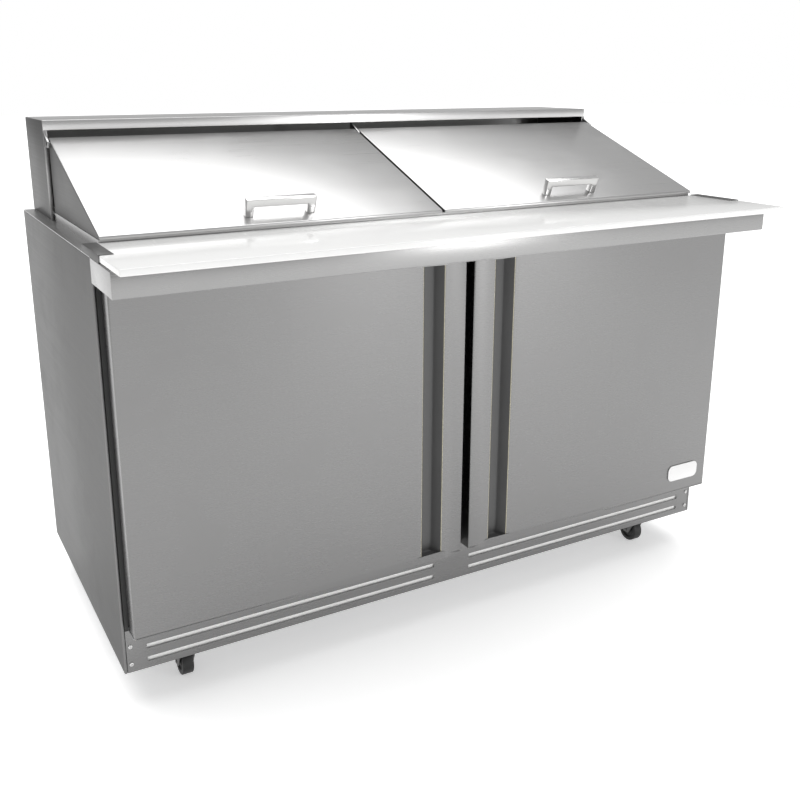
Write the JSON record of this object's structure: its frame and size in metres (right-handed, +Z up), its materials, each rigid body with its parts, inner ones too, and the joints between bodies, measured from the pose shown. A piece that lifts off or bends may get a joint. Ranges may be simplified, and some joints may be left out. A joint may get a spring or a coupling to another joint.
{
  "type": "refrigerated sandwich prep table",
  "caption": "Refrigerated prep table with hinged doors, sloping hinged lids over a pan well, a rear hood, a sliding cutting board and swivel casters.",
  "frame": {"origin": "on the floor, under the middle of the outline including the cutting board", "axes": "+X right as seen from the door side, +Y towards the back, +Z up"},
  "size_m": [1.53, 0.905, 1.131],
  "materials": {
    "stainless": "brushed stainless sheet",
    "pan_stainless": "satin drawn stainless",
    "galvanised": "matte galvanised sheet",
    "breaker_black": "matte black extrusion",
    "gasket_black": "soft matte vinyl",
    "handle_black": "moulded dark plastic",
    "foam": "foamed polyurethane",
    "liner_aluminium": "satin embossed sheet",
    "board_white": "matte polyethylene",
    "filter_white": "matte fibre mat",
    "shelf_wire": "smooth epoxy-coated wire",
    "badge_grey": "satin blank plate",
    "screw_steel": "polished steel",
    "compressor_black": "gloss black enamel",
    "fin_aluminium": "thin bright fins",
    "copper": "drawn copper tube",
    "fan_plastic": "moulded blades",
    "dial_plastic": "moulded knob",
    "inlet_black": "moulded inlet",
    "caster_steel": "zinc-plated pressing",
    "wheel_black": "dark hard rubber"
  },
  "bodies": {
    "cabinet": {"side_panels": "stainless", "back_panel": "galvanised", "base_pan": "galvanised", "base_fascia": "stainless", "fixing_screws": "screw_steel", "air_filter": "filter_white", "insulation": "foam", "interior_liner": "liner_aluminium", "front_frame": "breaker_black", "centre_mullion": "breaker_black", "deck_top": "stainless", "pan_well": "pan_stainless", "pan_rest_bars": "pan_stainless", "food_pans": "pan_stainless", "corner_pans": "pan_stainless", "rear_hood": "stainless", "board_shelf": "stainless", "board_clips": "stainless", "door_hinge_plates": "galvanised", "wire_shelves": "shelf_wire", "shelf_pilasters": "galvanised", "evaporator_housing": "liner_aluminium", "evaporator_coil": "fin_aluminium", "compressor": "compressor_black", "condenser_coil": "fin_aluminium", "fan_shroud": "galvanised", "drain_pan": "galvanised", "refrigerant_lines": "copper", "rear_louvre": "galvanised", "power_inlet": "inlet_black", "caster_plates": "caster_steel"},
    "board": {"cutting_board": "board_white"},
    "condenser_fan_wheel": {"condenser_fan": "fan_plastic"},
    "evaporator_fan_wheel": {"evaporator_fan": "fan_plastic"},
    "thermostat": {"thermostat_dial": "dial_plastic"},
    "lid_left": {"lid_left_shell": "stainless", "lid_left_panel": "foam", "lid_left_handle": "stainless"},
    "door_left": {"door_left_skin": "stainless", "door_left_channel": "handle_black", "door_left_foam": "foam", "door_left_liner": "liner_aluminium", "door_left_gasket": "gasket_black"},
    "lid_right": {"lid_right_shell": "stainless", "lid_right_panel": "foam", "lid_right_handle": "stainless"},
    "door_right": {"door_right_skin": "stainless", "door_right_channel": "handle_black", "door_right_foam": "foam", "door_right_liner": "liner_aluminium", "door_right_gasket": "gasket_black", "badge": "badge_grey"},
    "fork_front_left": {"caster_front_left_fork": "caster_steel"},
    "wheel_front_left": {"caster_front_left_wheel": "wheel_black"},
    "fork_front_right": {"caster_front_right_fork": "caster_steel"},
    "wheel_front_right": {"caster_front_right_wheel": "wheel_black"},
    "fork_rear_left": {"caster_rear_left_fork": "caster_steel"},
    "wheel_rear_left": {"caster_rear_left_wheel": "wheel_black"},
    "fork_rear_right": {"caster_rear_right_fork": "caster_steel"},
    "wheel_rear_right": {"caster_rear_right_wheel": "wheel_black"}
  },
  "joints": [
    {"name": "lid_left_hinge", "type": "hinge", "parent": "cabinet", "child": "lid_left", "pos_m": [-0.3685, 0.2115, 1.083], "axis": [-1, 0, 0], "range_deg": [0, 125]},
    {"name": "door_left_hinge", "type": "hinge", "parent": "cabinet", "child": "door_left", "pos_m": [-0.74, -0.2805, 0.5205], "axis": [0, 0, -1], "range_deg": [0, 120]},
    {"name": "lid_right_hinge", "type": "hinge", "parent": "cabinet", "child": "lid_right", "pos_m": [0.3685, 0.2115, 1.083], "axis": [-1, 0, 0], "range_deg": [0, 125]},
    {"name": "door_right_hinge", "type": "hinge", "parent": "cabinet", "child": "door_right", "pos_m": [0.74, -0.2805, 0.5205], "axis": [0, 0, 1], "range_deg": [0, 120]},
    {"name": "board_slide", "type": "slide", "parent": "cabinet", "child": "board", "axis": [0, -1, 0], "range_m": [0, 0.14]},
    {"name": "condenser_fan_spin", "type": "hinge", "parent": "cabinet", "child": "condenser_fan_wheel", "pos_m": [0.182, 0.3225, 0.1925], "axis": [1, 0, 0], "continuous": true},
    {"name": "evaporator_fan_spin", "type": "hinge", "parent": "cabinet", "child": "evaporator_fan_wheel", "pos_m": [-0.11, 0.3105, 0.635], "axis": [0, -1, 0], "continuous": true},
    {"name": "thermostat_turn", "type": "hinge", "parent": "cabinet", "child": "thermostat", "pos_m": [0.17, 0.2865, 0.635], "axis": [0, -1, 0], "range_deg": [0, 300]},
    {"name": "swivel_front_left", "type": "hinge", "parent": "cabinet", "child": "fork_front_left", "pos_m": [-0.626, -0.1975, 0.067], "axis": [0, 0, 1], "continuous": true},
    {"name": "roll_front_left", "type": "hinge", "parent": "fork_front_left", "child": "wheel_front_left", "pos_m": [-0.626, -0.1795, 0.03], "axis": [1, 0, 0], "continuous": true},
    {"name": "swivel_front_right", "type": "hinge", "parent": "cabinet", "child": "fork_front_right", "pos_m": [0.626, -0.1975, 0.067], "axis": [0, 0, 1], "continuous": true},
    {"name": "roll_front_right", "type": "hinge", "parent": "fork_front_right", "child": "wheel_front_right", "pos_m": [0.626, -0.1795, 0.03], "axis": [1, 0, 0], "continuous": true},
    {"name": "swivel_rear_left", "type": "hinge", "parent": "cabinet", "child": "fork_rear_left", "pos_m": [-0.626, 0.3725, 0.067], "axis": [0, 0, 1], "continuous": true},
    {"name": "roll_rear_left", "type": "hinge", "parent": "fork_rear_left", "child": "wheel_rear_left", "pos_m": [-0.626, 0.3905, 0.03], "axis": [1, 0, 0], "continuous": true},
    {"name": "swivel_rear_right", "type": "hinge", "parent": "cabinet", "child": "fork_rear_right", "pos_m": [0.626, 0.3725, 0.067], "axis": [0, 0, 1], "continuous": true},
    {"name": "roll_rear_right", "type": "hinge", "parent": "fork_rear_right", "child": "wheel_rear_right", "pos_m": [0.626, 0.3905, 0.03], "axis": [1, 0, 0], "continuous": true}
  ]
}
